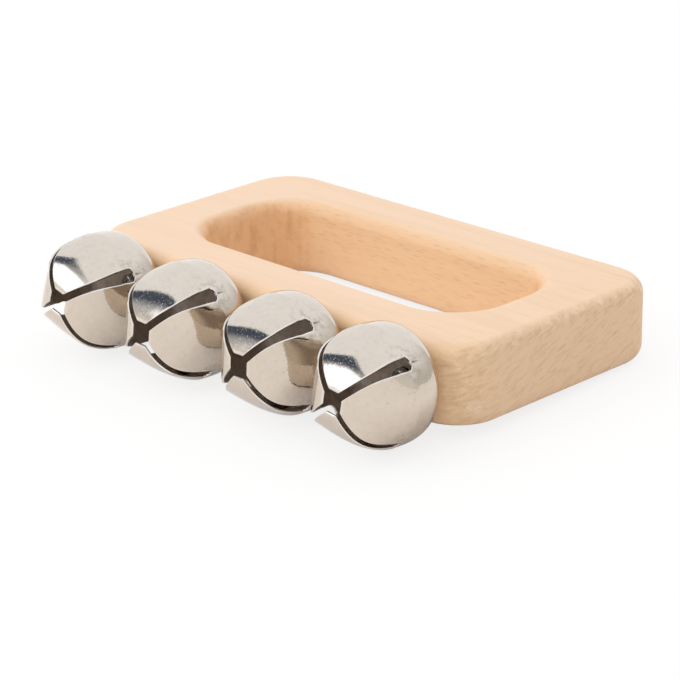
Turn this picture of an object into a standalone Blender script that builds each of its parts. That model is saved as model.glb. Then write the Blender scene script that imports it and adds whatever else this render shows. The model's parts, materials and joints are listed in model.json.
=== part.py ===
"""Jingle stick: a hand-held beech frame with a row of four jingle bells along one long side.

Frame of the part: metres, +X along the row of bells, +Y from the bells to the hand rail, +Z up.
The origin lies under the middle of the whole object, on the plane that its lowest points touch.
"""
from math import asin, cos, pi, radians, sin, sqrt

import bmesh
import bpy
from mathutils import Matrix, Vector

# Wooden frame: a flat board with rounded edges and one long hand hole
BOARD_LENGTH = 0.116
BOARD_THICKNESS = 0.018
BOARD_CORNER = 0.0115
EDGE_ROUND = 0.0032
BELL_RAIL = 0.0162
HAND_RAIL = 0.0156
HOLE_LENGTH = 0.0841
HOLE_WIDTH = 0.0334
HOLE_CORNER = 0.0124

# Bell shell: one stamped sheet with a domed back, and four petals folded in over the front
BELL_RADIUS = 0.01305
BELL_BACK = 0.0097
BELL_FRONT = 0.0126
BELL_SHEET = 0.0005
BACK_FULLNESS = 3.6
FRONT_FULLNESS = 2.9
PETAL_CROWN = 0.00005
PETAL_FADE = 1.26
PETAL_CLOSE = 1.7
SLOT_WIDTH_MOUTH = 0.0023
SLOT_WIDTH_END = 0.0025
SLOT_START = 0.0002

# Row of bells: the gap between neighbours, and how each one was set when it was screwed on
BELL_GAP = 0.002
ROW_OFFSET = 0.0014
BELL_SHIFTS = (0.0001, -0.0004, 0.0009, -0.0005)
BELL_TURNS = (radians(14.8), radians(3.9), radians(0.4), radians(7.2))
BELL_LEAN = radians(3.4)
SCREW_RISE = 0.0007

# Fixing screw and loose pellet
SCREW_HEAD_RADIUS = 0.0021
SCREW_HEAD_HEIGHT = 0.0017
SCREW_HEAD_ROUND = 0.0007
SCREW_RADIUS = 0.0012
SCREW_POINT = 0.0030
SCREW_COVER = 0.0040
RECESS_LENGTH = 0.0024
RECESS_WIDTH = 0.0006
RECESS_DEPTH = 0.0009
PELLET_RADIUS = 0.0030

# Clearances
SEAT_GAP = 0.0003
SHANK_GAP = 0.0003
MOUTH_GAP = 0.00036

# Fineness of the curved faces
CORNER_STEPS = 8
EDGE_STEPS = 4
PETAL_STEPS = 6
BACK_STEPS = 7
FRONT_STEPS = 7
SLOT_END_STEPS = 3
SCREW_STEPS = 16
PELLET_STEPS = 12

# Places that follow from the sizes
BOARD_WIDTH = BELL_RAIL + HOLE_WIDTH + HAND_RAIL
BELL_COUNT = len(BELL_TURNS)
BELL_PITCH = 2 * BELL_RADIUS + BELL_GAP
MOUTH_HALF = SCREW_HEAD_RADIUS + MOUTH_GAP
SHANK_HOLE = SCREW_RADIUS + SHANK_GAP
BELL_AXLE = SEAT_GAP + BELL_BACK
BELL_DROP = BELL_RADIUS - BELL_AXLE * sin(BELL_LEAN)
BOARD_UNDERSIDE = max(0.0, BELL_DROP - BOARD_THICKNESS / 2 - SCREW_RISE)
SCREW_Z = BOARD_UNDERSIDE + BOARD_THICKNESS / 2 + SCREW_RISE
BELL_REACH = (BELL_AXLE + BELL_FRONT) * cos(BELL_LEAN) + MOUTH_HALF * sin(BELL_LEAN)
BOARD_FACE = (BELL_REACH - BOARD_WIDTH) / 2


def clear_scene():
    """Start from an empty scene."""
    for thing in list(bpy.data.objects):
        bpy.data.objects.remove(thing, do_unlink=True)


def finish(name, colour, roughness, metallic):
    """A plain surface finish."""
    made = bpy.data.materials.new(name)
    made.use_nodes = True
    shader = made.node_tree.nodes["Principled BSDF"]
    shader.inputs["Base Color"].default_value = (*colour, 1.0)
    shader.inputs["Roughness"].default_value = roughness
    shader.inputs["Metallic"].default_value = metallic
    made.diffuse_color = (*colour, 1.0)
    return made


def new_object(name, mesh, material=None, parent=None):
    """Put a mesh in the scene as a named sub-part."""
    thing = bpy.data.objects.new(name, mesh)
    bpy.context.scene.collection.objects.link(thing)
    if material and not mesh.materials:
        mesh.materials.append(material)
    thing.parent = parent
    return thing


def mesh_from(build, name, smooth_angle=radians(35)):
    """Turn a bmesh into a mesh with its faces pointing out, shaded smooth up to an angle."""
    bmesh.ops.recalc_face_normals(build, faces=build.faces)
    mesh = bpy.data.meshes.new(name)
    build.to_mesh(mesh)
    build.free()
    mesh.shade_smooth()
    mesh.set_sharp_from_angle(angle=smooth_angle)
    return mesh


def as_cutter(thing):
    """Mark an object as a cutting tool that is no part of the product."""
    thing.hide_render = True
    thing.display_type = "WIRE"
    return thing


def cut(target, cutter):
    """Take the cutter's shape out of the target."""
    boolean = target.modifiers.new(cutter.name, "BOOLEAN")
    boolean.operation = "DIFFERENCE"
    boolean.solver = "EXACT"
    boolean.object = cutter


def turned_mesh(name, profile, steps):
    """Turn a profile of (radius, y) points, from pole to pole, about the Y axis."""
    build = bmesh.new()
    rings = []
    for radius, y in profile:
        if radius == 0.0:
            rings.append([build.verts.new((0.0, y, 0.0))] * steps)
            continue
        angles = [2 * pi * k / steps for k in range(steps)]
        rings.append([build.verts.new((radius * cos(a), y, radius * sin(a))) for a in angles])
    for ring, following in zip(rings, rings[1:]):
        for k in range(steps):
            corners = [ring[k], ring[(k + 1) % steps], following[(k + 1) % steps], following[k]]
            build.faces.new(list(dict.fromkeys(corners)))
    return mesh_from(build, name)


def rounded_outline(length, width, corner):
    """Points of a rectangle with round corners, centred on the origin."""
    points = []
    for quarter, (side_x, side_y) in enumerate([(1, 1), (-1, 1), (-1, -1), (1, -1)]):
        centre = Vector((side_x * (length / 2 - corner), side_y * (width / 2 - corner)))
        for step in range(CORNER_STEPS + 1):
            angle = pi / 2 * (quarter + step / CORNER_STEPS)
            points.append(centre + corner * Vector((cos(angle), sin(angle))))
    return points


def board_mesh():
    """The board as a flat ring between its outer outline and its hand hole."""
    build = bmesh.new()
    outer = rounded_outline(BOARD_LENGTH, BOARD_WIDTH, BOARD_CORNER)
    hole = rounded_outline(HOLE_LENGTH, HOLE_WIDTH, HOLE_CORNER)
    outer_middle = BOARD_FACE + BOARD_WIDTH / 2
    hole_middle = BOARD_FACE + BELL_RAIL + HOLE_WIDTH / 2
    low = BOARD_UNDERSIDE
    high = BOARD_UNDERSIDE + BOARD_THICKNESS
    loops = []
    for outline, middle, z in (
        (outer, outer_middle, low),
        (outer, outer_middle, high),
        (hole, hole_middle, high),
        (hole, hole_middle, low),
    ):
        loops.append([build.verts.new((p.x, p.y + middle, z)) for p in outline])
    for loop, following in zip(loops, loops[1:] + loops[:1]):
        for k in range(len(loop)):
            after = (k + 1) % len(loop)
            build.faces.new((loop[k], loop[after], following[after], following[k]))
    return mesh_from(build, "wooden_frame")


def make_wooden_frame(material):
    """The board, with its four long rims rounded over for the hand."""
    frame = new_object("wooden_frame", board_mesh(), material)
    rounding = frame.modifiers.new("rounded_rims", "BEVEL")
    rounding.width = EDGE_ROUND
    rounding.segments = EDGE_STEPS
    rounding.limit_method = "ANGLE"
    rounding.angle_limit = radians(60)
    return frame


def bell_seat(index):
    """An empty on the board's face where a bell is screwed on, its -Y axis pointing out of the bell."""
    seat = bpy.data.objects.new(f"bell_seat_{index + 1}", None)
    bpy.context.scene.collection.objects.link(seat)
    place = (index - (BELL_COUNT - 1) / 2) * BELL_PITCH + ROW_OFFSET + BELL_SHIFTS[index]
    seat.location = (place, BOARD_FACE, SCREW_Z)
    seat.rotation_euler = (-BELL_LEAN, 0.0, 0.0)
    return seat


def profile_reach(forward, depth, fullness):
    """Distance from the bell's axis to its wall, at a distance from its widest ring."""
    share = min(forward / depth, 1.0)
    return BELL_RADIUS * (1 - share**fullness) ** (1 / fullness)


def profile_depth(reach, depth, fullness):
    """Distance from the bell's widest ring at which its wall has come in to a reach."""
    return depth * (1 - (reach / BELL_RADIUS) ** fullness) ** (1 / fullness)


def even_stations(start, end, depth, fullness, steps):
    """Distances from the widest ring, spread evenly round the curve of the profile."""
    first = asin((start / depth) ** (fullness / 2))
    last = asin((end / depth) ** (fullness / 2))
    turns = [first + (last - first) * k / steps for k in range(steps + 1)]
    return [depth * sin(turn) ** (2 / fullness) for turn in turns]


def petal_row(forward, tip, slot_half):
    """One cross-section of a petal, as (across, up) points from its left to its right edge.

    It is an arc whose ends lie on the diagonals. It is part of a circle about the bell's axis
    where the petal springs from the dome, and is nearly flat at the petal's tip.
    """
    half_chord = profile_reach(forward, BELL_FRONT, FRONT_FULLNESS) / sqrt(2)
    full_rise = BELL_RADIUS * (1 - 1 / sqrt(2))
    fade = (1 - (forward / tip) ** PETAL_FADE) ** PETAL_CLOSE
    rise = PETAL_CROWN + (full_rise - PETAL_CROWN) * fade
    radius = (half_chord**2 + rise**2) / (2 * rise)
    half_angle = asin(min(1.0, half_chord / radius)) - slot_half / radius
    row = []
    for k in range(PETAL_STEPS + 1):
        angle = half_angle * (2 * k / PETAL_STEPS - 1)
        row.append((radius * sin(angle), half_chord + rise - radius * (1 - cos(angle))))
    return row


def shell_rows():
    """Each cross-section of the bell as (y, points of one petal), from the mouth to the base."""
    tip = profile_depth(MOUTH_HALF * sqrt(2), BELL_FRONT, FRONT_FULLNESS)
    end_radius = SLOT_WIDTH_END / 2
    full_width = SLOT_START + end_radius
    rows = []
    for forward in reversed(even_stations(full_width, tip, BELL_FRONT, FRONT_FULLNESS, FRONT_STEPS)):
        along = (forward - full_width) / (tip - full_width)
        slot_half = (SLOT_WIDTH_END + (SLOT_WIDTH_MOUTH - SLOT_WIDTH_END) * along) / 2
        rows.append((-BELL_BACK - forward, petal_row(forward, tip, slot_half)))
    for step in reversed(range(SLOT_END_STEPS)):
        angle = pi / 2 * step / SLOT_END_STEPS
        forward = SLOT_START + end_radius * (1 - cos(angle))
        rows.append((-BELL_BACK - forward, petal_row(forward, tip, end_radius * sin(angle))))
    base = profile_depth(SHANK_HOLE, BELL_BACK, BACK_FULLNESS)
    for back in even_stations(0.0, base, BELL_BACK, BACK_FULLNESS, BACK_STEPS):
        reach = profile_reach(back, BELL_BACK, BACK_FULLNESS)
        angles = [pi / 4 * (2 * k / PETAL_STEPS - 1) for k in range(PETAL_STEPS + 1)]
        rows.append((back - BELL_BACK, [(reach * sin(a), reach * cos(a)) for a in angles]))
    return rows


def shell_mesh():
    """The bell's outer skin: four petals that part at the slots and join in the domed back."""
    build = bmesh.new()
    rows = shell_rows()
    for quarter in range(4):
        turn = Matrix.Rotation(pi / 2 * quarter, 3, "Y")
        grid = []
        for y, points in rows:
            grid.append([build.verts.new(turn @ Vector((across, y, up))) for across, up in points])
        for row, following in zip(grid, grid[1:]):
            for k in range(PETAL_STEPS):
                build.faces.new((row[k], following[k], following[k + 1], row[k + 1]))
    bmesh.ops.remove_doubles(build, verts=build.verts, dist=1e-6)
    return mesh_from(build, "bell_shell")


def make_bell(index, seat, mesh, material):
    """A bell shell on its seat, turned about its screw as it was left."""
    bell = new_object(f"bell_{index + 1}", mesh, material, seat)
    bell.location = (0.0, -SEAT_GAP, 0.0)
    bell.rotation_euler = (0.0, BELL_TURNS[index], 0.0)
    sheet = bell.modifiers.new("sheet", "SOLIDIFY")
    sheet.thickness = BELL_SHEET
    sheet.offset = -1.0
    sheet.use_even_offset = True
    return bell


def pellet_mesh():
    """A round pellet as a turned half circle."""
    turns = [pi * k / PELLET_STEPS for k in range(1, PELLET_STEPS)]
    arc = [(PELLET_RADIUS * sin(turn), PELLET_RADIUS * cos(turn)) for turn in turns]
    profile = [(0.0, PELLET_RADIUS)] + arc + [(0.0, -PELLET_RADIUS)]
    return turned_mesh("pellet", profile, PELLET_STEPS)


def make_pellet(index, seat, mesh, material):
    """A loose pellet that lies in the belly of its bell."""
    pellet = new_object(f"pellet_{index + 1}", mesh, material, seat)
    low = BELL_RADIUS - BELL_SHEET - SEAT_GAP - PELLET_RADIUS
    pellet.location = (0.0, -BELL_AXLE, -low)
    return pellet


def screw_mesh():
    """A pan-head screw as one turned shape: head, shank and point, along the Y axis."""
    under_head = -(2 * SEAT_GAP + BELL_SHEET)
    head_face = under_head - SCREW_HEAD_HEIGHT
    shank_end = BELL_RAIL - SCREW_COVER
    profile = [(0.0, head_face)]
    for step in range(EDGE_STEPS + 1):
        angle = pi / 2 * step / EDGE_STEPS
        inner = SCREW_HEAD_RADIUS - SCREW_HEAD_ROUND
        rounding = (inner + SCREW_HEAD_ROUND * sin(angle), head_face + SCREW_HEAD_ROUND * (1 - cos(angle)))
        profile.append(rounding)
    profile.append((SCREW_HEAD_RADIUS, under_head))
    profile.append((SCREW_RADIUS, under_head))
    profile.append((SCREW_RADIUS, shank_end - SCREW_POINT))
    profile.append((0.0, shank_end))
    return turned_mesh("screw", profile, SCREW_STEPS)


def recess_mesh():
    """A cross that cuts the driver's recess into the head of a screw."""
    head_face = -(2 * SEAT_GAP + BELL_SHEET) - SCREW_HEAD_HEIGHT
    depth = 2 * RECESS_DEPTH
    build = bmesh.new()
    bmesh.ops.create_cube(build, size=1.0)
    bmesh.ops.scale(build, vec=(RECESS_LENGTH, depth, RECESS_WIDTH), verts=build.verts)
    bmesh.ops.translate(build, vec=(0.0, head_face, 0.0), verts=build.verts)
    return mesh_from(build, "recess")


def make_screw(index, seat, mesh, material):
    """The screw that holds a bell to the board, with a cross recess in its head."""
    screw = new_object(f"screw_{index + 1}", mesh, material, seat)
    for arm in range(2):
        cross = as_cutter(new_object(f"recess_{index + 1}_{arm + 1}", recess_mesh(), parent=seat))
        cross.rotation_euler = (0.0, pi / 2 * arm + BELL_TURNS[index], 0.0)
        cut(screw, cross)
    return screw


def bore_screw_hole(index, seat, frame):
    """The hole in the board that takes the screw's shank."""
    radius = SHANK_HOLE
    depth = BELL_RAIL - SCREW_COVER + SHANK_GAP
    profile = [(0.0, -EDGE_ROUND), (radius, -EDGE_ROUND), (radius, depth), (0.0, depth)]
    drill = new_object(f"drill_{index + 1}", turned_mesh("drill", profile, SCREW_STEPS), parent=seat)
    cut(frame, as_cutter(drill))


def main():
    clear_scene()
    beech = finish("beech", (0.76, 0.55, 0.36), 0.48, 0.0)
    nickel = finish("nickel_plate", (0.80, 0.77, 0.72), 0.12, 1.0)
    iron = finish("pellet_iron", (0.33, 0.31, 0.29), 0.38, 1.0)
    zinc = finish("screw_zinc", (0.62, 0.60, 0.55), 0.30, 1.0)
    frame = make_wooden_frame(beech)
    shell = shell_mesh()
    pellet = pellet_mesh()
    screw = screw_mesh()
    for index in range(BELL_COUNT):
        seat = bell_seat(index)
        make_bell(index, seat, shell, nickel)
        make_pellet(index, seat, pellet, iron)
        make_screw(index, seat, screw, zinc)
        bore_screw_hole(index, seat, frame)
    bpy.context.view_layer.update()


main()
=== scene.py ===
# %% [markdown]
# # A jingle stick
#
# This lesson dresses a hand-held jingle stick: a small beech frame, rounded over so that it sits well in
# the hand, with four nickel-plated bells screwed to one long side. The plain, exact solids come from a
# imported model. They fix every place and size, and each finished piece below is made to lie where its
# solid lies. What is left to do is what the eye enjoys: soft edges, thin bent sheet, wood grain and the
# lazy reflections in stamped metal.

import json
from functools import partial
from math import asin, cos, pi, radians, sin, sqrt

import bmesh
import bpy
from mathutils import Matrix, Vector


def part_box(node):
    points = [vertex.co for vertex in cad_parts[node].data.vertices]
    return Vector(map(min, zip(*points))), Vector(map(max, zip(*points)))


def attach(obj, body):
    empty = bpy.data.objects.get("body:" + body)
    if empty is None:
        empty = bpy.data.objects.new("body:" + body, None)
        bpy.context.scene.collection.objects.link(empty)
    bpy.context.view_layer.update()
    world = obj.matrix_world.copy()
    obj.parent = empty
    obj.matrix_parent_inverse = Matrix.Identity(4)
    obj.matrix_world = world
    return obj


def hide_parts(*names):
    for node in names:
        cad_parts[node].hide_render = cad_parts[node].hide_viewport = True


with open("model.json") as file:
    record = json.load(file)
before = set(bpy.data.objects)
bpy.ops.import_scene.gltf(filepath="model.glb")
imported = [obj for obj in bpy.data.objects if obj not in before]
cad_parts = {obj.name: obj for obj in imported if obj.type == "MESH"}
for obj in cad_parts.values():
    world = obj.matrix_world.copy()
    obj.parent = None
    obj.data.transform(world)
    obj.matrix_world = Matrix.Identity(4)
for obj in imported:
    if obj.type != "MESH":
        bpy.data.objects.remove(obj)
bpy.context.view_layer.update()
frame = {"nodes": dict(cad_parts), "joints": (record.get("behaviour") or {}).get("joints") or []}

# %% [markdown]
# ## Sizes
#
# A maker measures once and works everything out from that. The board's size is read from its solid, and
# the places where the bells are screwed on are read from their joints. The other sizes are the real ones
# of each piece, in metres, and every formula below refers back to them by name.

# %% Sizes of the real pieces
MM = 0.001
BOARD_LOW, BOARD_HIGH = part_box("wooden_frame")
BOARD_SIZE = BOARD_HIGH - BOARD_LOW
BOARD_MIDDLE = (BOARD_LOW + BOARD_HIGH) / 2
BOARD_CORNER = 11.5 * MM
EDGE_ROUND = 3.2 * MM
BELL_RAIL = 16.2 * MM
HOLE_LENGTH = 84.1 * MM
HOLE_WIDTH = 33.4 * MM
HOLE_CORNER = 12.4 * MM

BELL_RADIUS = 13.05 * MM
BELL_BACK = 9.7 * MM
BELL_FRONT = 12.6 * MM
BELL_SHEET = 0.5 * MM
BACK_FULLNESS = 3.6
FRONT_FULLNESS = 2.9
PETAL_CROWN = 0.05 * MM
PETAL_FADE = 1.26
PETAL_CLOSE = 1.7
SLOT_WIDTH_MOUTH = 2.3 * MM
SLOT_WIDTH_END = 2.5 * MM
SLOT_START = 0.2 * MM
MOUTH_HALF = 2.46 * MM
SHANK_HOLE = 1.5 * MM
SEAT_GAP = 0.3 * MM
BELL_TURNS = (radians(14.8), radians(3.9), radians(0.4), radians(7.2))

PELLET_RADIUS = 3.0 * MM
SCREW_HEAD_RADIUS = 2.1 * MM
SCREW_HEAD_HEIGHT = 1.7 * MM
SCREW_RADIUS = 1.2 * MM
SCREW_COVER = 4.0 * MM

bell_joints = [joint for joint in frame["joints"] if joint["name"].startswith("bell_")]
SEATS = []
for joint in bell_joints:
    lean = asin(joint["axis"][2])
    SEATS.append(Matrix.Translation(joint["pos_m"]) @ Matrix.Rotation(-lean, 4, "X"))
print("board in mm:", [round(v / MM, 1) for v in BOARD_SIZE], "with", len(SEATS), "bell seats")

# %% [markdown]
# ## The photographer's table
#
# The camera comes first, because every later choice is judged through it. The board's outline and its
# hand hole give away where the camera stood: a long lens, about 0.6 m away, 44 degrees round from the
# bells' side and 20 degrees up. The camera is aimed a little beside the board's middle, which places the
# object in the picture as a photographer would, without any lens shift.

# %% Camera
CAMERA_AZIMUTH = radians(44.29)
CAMERA_ELEVATION = radians(19.96)
CAMERA_ROLL = radians(-0.54)
CAMERA_DISTANCE = 611.2 * MM
CAMERA_LENS = 145.4
AIM_RIGHT = -5.98 * MM
AIM_UP = -11.0 * MM


def view_axes(azimuth, elevation, roll):
    """The camera's right, up and backward directions for a viewing angle."""
    backward = Vector((sin(azimuth) * cos(elevation), -cos(azimuth) * cos(elevation), sin(elevation)))
    level = Vector((cos(azimuth), sin(azimuth), 0.0))
    upright = backward.cross(level)
    right = level * cos(roll) + upright * sin(roll)
    return right, backward.cross(right), backward


def add_camera():
    """A long lens at the photograph's viewing angle."""
    right, up, backward = view_axes(CAMERA_AZIMUTH, CAMERA_ELEVATION, CAMERA_ROLL)
    eye = BOARD_MIDDLE + backward * CAMERA_DISTANCE
    away = (eye - (BOARD_MIDDLE + right * AIM_RIGHT + up * AIM_UP)).normalized()
    across = up.cross(away).normalized()
    turn = Matrix((across, away.cross(across), away)).transposed()
    lens = bpy.data.cameras.new("photo_camera")
    lens.lens = CAMERA_LENS
    lens.clip_end = 50.0
    camera = bpy.data.objects.new("photo_camera", lens)
    camera.matrix_world = Matrix.Translation(eye) @ turn.to_4x4()
    bpy.context.scene.collection.objects.link(camera)
    bpy.context.scene.camera = camera
    return camera


camera = add_camera()
print("camera at", [round(v, 3) for v in camera.matrix_world.translation], "lens", CAMERA_LENS, "mm")

# %% [markdown]
# ## Writing rules with nodes
#
# Node trees are clearest when they read like algebra. A *Rule* wraps one number that flows through a
# tree: adding or multiplying two of them adds a Math node and links it. The same small class serves the
# materials and the Geometry Nodes trees, because both kinds of tree share Blender's Math nodes.

# %% Helpers for node trees


def feed(tree, socket, value):
    """Link a rule, a socket or a node's first output to an input, or write a plain value into it."""
    if isinstance(value, Rule):
        value = value.socket
    if isinstance(value, bpy.types.Node):
        value = value.outputs[0]
    if isinstance(value, bpy.types.NodeSocket):
        tree.links.new(value, socket)
    else:
        socket.default_value = value


class Rule:
    """A number in a node tree that can be used in ordinary sums."""

    def __init__(self, tree, value):
        self.tree = tree
        self.socket = value.socket if isinstance(value, Rule) else value

    def act(self, operation, *others):
        """A Math node that works on this number and on others."""
        node = self.tree.nodes.new("ShaderNodeMath")
        node.operation = operation
        for socket, value in zip(node.inputs, (self, *others)):
            feed(self.tree, socket, value)
        return Rule(self.tree, node)

    def __add__(self, other):
        return self.act("ADD", other)

    def __sub__(self, other):
        return self.act("SUBTRACT", other)

    def __rsub__(self, other):
        return self.act("MULTIPLY", -1.0) + other

    def __mul__(self, other):
        return self.act("MULTIPLY", other)

    def __truediv__(self, other):
        return self.act("DIVIDE", other)

    def __pow__(self, other):
        return self.act("POWER", other)

    def __neg__(self):
        return self * -1.0

    __radd__ = __add__

    def clamped(self):
        """The number held between 0 and 1."""
        return self.act("MAXIMUM", 0.0).act("MINIMUM", 1.0)

    def above(self, level, contrast):
        """How far the number is over a level, or under it where the contrast is negative, from 0 to 1."""
        return ((self - level) * contrast).clamped()

    def past(self, edge, softness):
        """0 below an edge and 1 above it, with a soft step of a width between the two."""
        return ((self - edge) / softness + 0.5).clamped()

    def up_to(self, edge, softness):
        """1 below an edge and 0 above it, with the same soft step."""
        return 1.0 - self.past(edge, softness)

    def bell_curve(self, width):
        """1 where the number is 0, falling off smoothly over a width."""
        scaled = self / width
        return (scaled * scaled * -1.0).act("EXPONENT")


def add_node(tree, kind, settings=None, **values):
    """A node with its settings, and with its inputs set by name (underscores stand for spaces)."""
    node = tree.nodes.new(kind)
    for name, value in (settings or {}).items():
        setattr(node, name, value)
    for name, value in values.items():
        feed(tree, node.inputs[name.replace("_", " ")], value)
    return node


def parts_of(tree, vector):
    """The X, Y and Z of a vector, each as a rule."""
    return [Rule(tree, part) for part in add_node(tree, "ShaderNodeSeparateXYZ", Vector=vector).outputs]


def noise(tree, place, per_metre, detail=3.0, stretch=(1.0, 1.0, 1.0), roughness=0.5):
    """A noise value at a place, with its own stretch along each axis."""
    mapped = add_node(tree, "ShaderNodeMapping", Vector=place, Scale=stretch)
    values = {"Vector": mapped, "Scale": per_metre, "Detail": detail, "Roughness": roughness}
    return Rule(tree, add_node(tree, "ShaderNodeTexNoise", **values).outputs["Fac"])


def new_tree(kind, name, inputs, outputs):
    """A node group with named inputs and outputs. Each is (name, socket type, default or None)."""
    tree = bpy.data.node_groups.new(name, kind)
    for direction, sockets in (("INPUT", inputs), ("OUTPUT", outputs)):
        for label, socket_type, default in sockets:
            socket = tree.interface.new_socket(label, in_out=direction, socket_type=socket_type)
            if default is not None:
                socket.default_value = default
    source = tree.nodes.new("NodeGroupInput")
    target = tree.nodes.new("NodeGroupOutput")
    return tree, source.outputs, target.inputs


FLOAT = "NodeSocketFloat"
VECTOR = "NodeSocketVector"
GEOMETRY = "NodeSocketGeometry"
MATERIAL = "NodeSocketMaterial"
print("node helpers ready")

# %% [markdown]
# ## Shared surface effects
#
# Two effects turn up in more than one finish, so each is a shader node group. *Specks* scatters small
# spots of one size, for the pores of wood, the dirt on plate and the pits of a tumbled pellet. *Handled
# metal* gives what separates a used plated surface from a mirror: cloudy patches of roughness, a soft
# unevenness left by the press, and hairline scratches. Both put out only masks and heights, and each
# material decides what to do with them.

# %% Node group: specks


def make_specks():
    """Scattered spots as a mask, with their own stretch along X."""
    inputs = [
        ("Position", VECTOR, None),
        ("Spots per metre", FLOAT, 800.0),
        ("Stretch", FLOAT, 1.0),
        ("Spot size", FLOAT, 0.25),
        ("Share", FLOAT, 0.5),
    ]
    tree, given, result = new_tree("ShaderNodeTree", "specks", inputs, [("Mask", FLOAT, None)])
    x, y, z = parts_of(tree, given["Position"])
    place = add_node(tree, "ShaderNodeCombineXYZ", X=x / given["Stretch"], Y=y, Z=z)
    cells = add_node(tree, "ShaderNodeTexVoronoi", Vector=place, Scale=given["Spots per metre"])
    near = (Rule(tree, given["Spot size"]) - cells.outputs["Distance"]) / given["Spot size"]
    choice = add_node(tree, "ShaderNodeSeparateColor", Color=cells.outputs["Color"])
    kept = Rule(tree, choice.outputs["Red"]).act("LESS_THAN", given["Share"])
    strength = Rule(tree, choice.outputs["Green"]) * 0.6 + 0.4
    feed(tree, result["Mask"], near.clamped() * kept * strength)
    return tree


SPECKS = make_specks()
print("node group:", SPECKS.name)

# %% Node group: handled metal
HAIRLINE_TURN = (0.5, 0.9, 0.3)
HAIRLINES_PER_METRE = (7000.0, 260.0, 900.0)


def make_handled_metal():
    """Cloudy roughness, soft unevenness and hairlines, for any metal that is handled."""
    inputs = [
        ("Position", VECTOR, None),
        ("Cloud size", FLOAT, 0.006),
        ("Hairlines", FLOAT, 0.5),
    ]
    outputs = [("Clouds", FLOAT, None), ("Hairlines", FLOAT, None), ("Height", FLOAT, None)]
    tree, given, result = new_tree("ShaderNodeTree", "handled_metal", inputs, outputs)
    per_metre = Rule(tree, given["Cloud size"]) ** -1.0
    clouds = noise(tree, given["Position"], per_metre, detail=5.0, roughness=0.6)
    feed(tree, result["Clouds"], clouds)
    turned = {"Rotation": HAIRLINE_TURN, "Scale": HAIRLINES_PER_METRE}
    stroke = add_node(tree, "ShaderNodeMapping", Vector=given["Position"], **turned)
    lines = noise(tree, stroke, 1.0, detail=2.0)
    feed(tree, result["Hairlines"], lines.above(0.62, 9.0) * given["Hairlines"])
    orange_peel = noise(tree, given["Position"], per_metre * 3.0)
    feed(tree, result["Height"], orange_peel * 0.6 + clouds)
    return tree


HANDLED_METAL = make_handled_metal()
print("node group:", HANDLED_METAL.name)

# %% Helpers for materials


def mixed_shader(tree, share, first, second):
    """A second shader over a first one, by a share."""
    node = add_node(tree, "ShaderNodeMixShader", Fac=share)
    feed(tree, node.inputs[1], first)
    feed(tree, node.inputs[2], second)
    return node


def new_material(name):
    """An empty material with a Principled shader, and its tree and shader."""
    material = bpy.data.materials.new(name)
    material.use_nodes = True
    return material, material.node_tree, material.node_tree.nodes["Principled BSDF"]


def use_group(tree, group, **values):
    """One use of a node group with its own values, which gives each of its outputs as a rule."""
    node = add_node(tree, "ShaderNodeGroup", {"node_tree": group}, **values)
    return [Rule(tree, output) for output in node.outputs]


def object_place(tree):
    """The position on the object, in metres."""
    return add_node(tree, "ShaderNodeTexCoord").outputs["Object"]


def vector_rule(tree, operation, first, second):
    """A number worked out from two vectors, such as their distance."""
    node = add_node(tree, "ShaderNodeVectorMath", {"operation": operation})
    feed(tree, node.inputs[0], first)
    feed(tree, node.inputs[1], second)
    return Rule(tree, node.outputs["Value"])


def blend_colour(tree, share, first, second):
    """Mix two colours by a mask."""
    node = add_node(tree, "ShaderNodeMix", {"data_type": "RGBA"})
    feed(tree, node.inputs[0], share)
    for socket, colour in ((node.inputs[6], first), (node.inputs[7], second)):
        feed(tree, socket, (*colour, 1.0) if isinstance(colour, tuple) else colour)
    return node.outputs[2]


def paint(tree, colour, layers):
    """Lay more colours over one. Each layer is (mask, colour)."""
    for share, layer in layers:
        colour = blend_colour(tree, share, colour, layer)
    return colour


def finish_surface(tree, shader, colour, roughness, height, depth, strength):
    """Give a shader its colour, its roughness and a bump of a real depth in metres."""
    bump = add_node(tree, "ShaderNodeBump", Strength=strength, Distance=depth, Height=height)
    for name, value in (("Base Color", colour), ("Roughness", roughness), ("Normal", bump)):
        feed(tree, shader.inputs[name], value)


print("material helpers ready")

# %% [markdown]
# ## Beech
#
# Beech is pale and even, and its character is small. The growth rings lie tipped against the board's
# faces: they show as faint lines on top and as a slanting hatch on the ends. Short dark dashes are the
# wood's rays, cut across, and they show most on the sides and inside the hand hole. The ends soak up more
# lacquer and go duller and browner. The sides and the hole's long walls are painted a warmer tan as painted
# bounce light, and the tight curves at the hole's ends a darker orange as painted shade. Each tool leaves
# its mark too: the router tears the rims a little where it crosses the grain and leaves scorch patches on
# the tight curve in the hole, and one end has a small pale nick.
#
# The wood could be painted on an unwrapped map, but a map has seams just where the rims turn. Here it is
# one solid pattern that fills the board, so the grain runs on from the top to the sides and into the hole.

# %% Material: beech
RING_TILT = radians(-20)
HOLE_END = 46 * MM
RUN_OUT = 44 * MM
NICK_PLACE = (56.4 * MM, -15.4 * MM, 7.3 * MM)
NICK_REACH = 2.1 * MM
PALE_BEECH = (0.832, 0.615, 0.438)
DEEP_BEECH = (0.805, 0.575, 0.388)
RUN_OUT_TAN = (0.815, 0.57, 0.365)
SIDE_BOUNCE_TAN = (0.905, 0.61, 0.36)
MOTTLE_BROWN = (0.70, 0.41, 0.20)
RING_BROWN = (0.66, 0.42, 0.24)
FIBRE_BROWN = (0.56, 0.36, 0.21)
RAY_BROWN = (0.56, 0.27, 0.11)
TORN_BROWN = (0.56, 0.34, 0.18)
RIM_PALE = (0.93, 0.76, 0.58)
END_BROWN = (0.66, 0.45, 0.27)
HATCH_BROWN = (0.48, 0.30, 0.17)
PORE_BROWN = (0.44, 0.28, 0.16)
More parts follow.
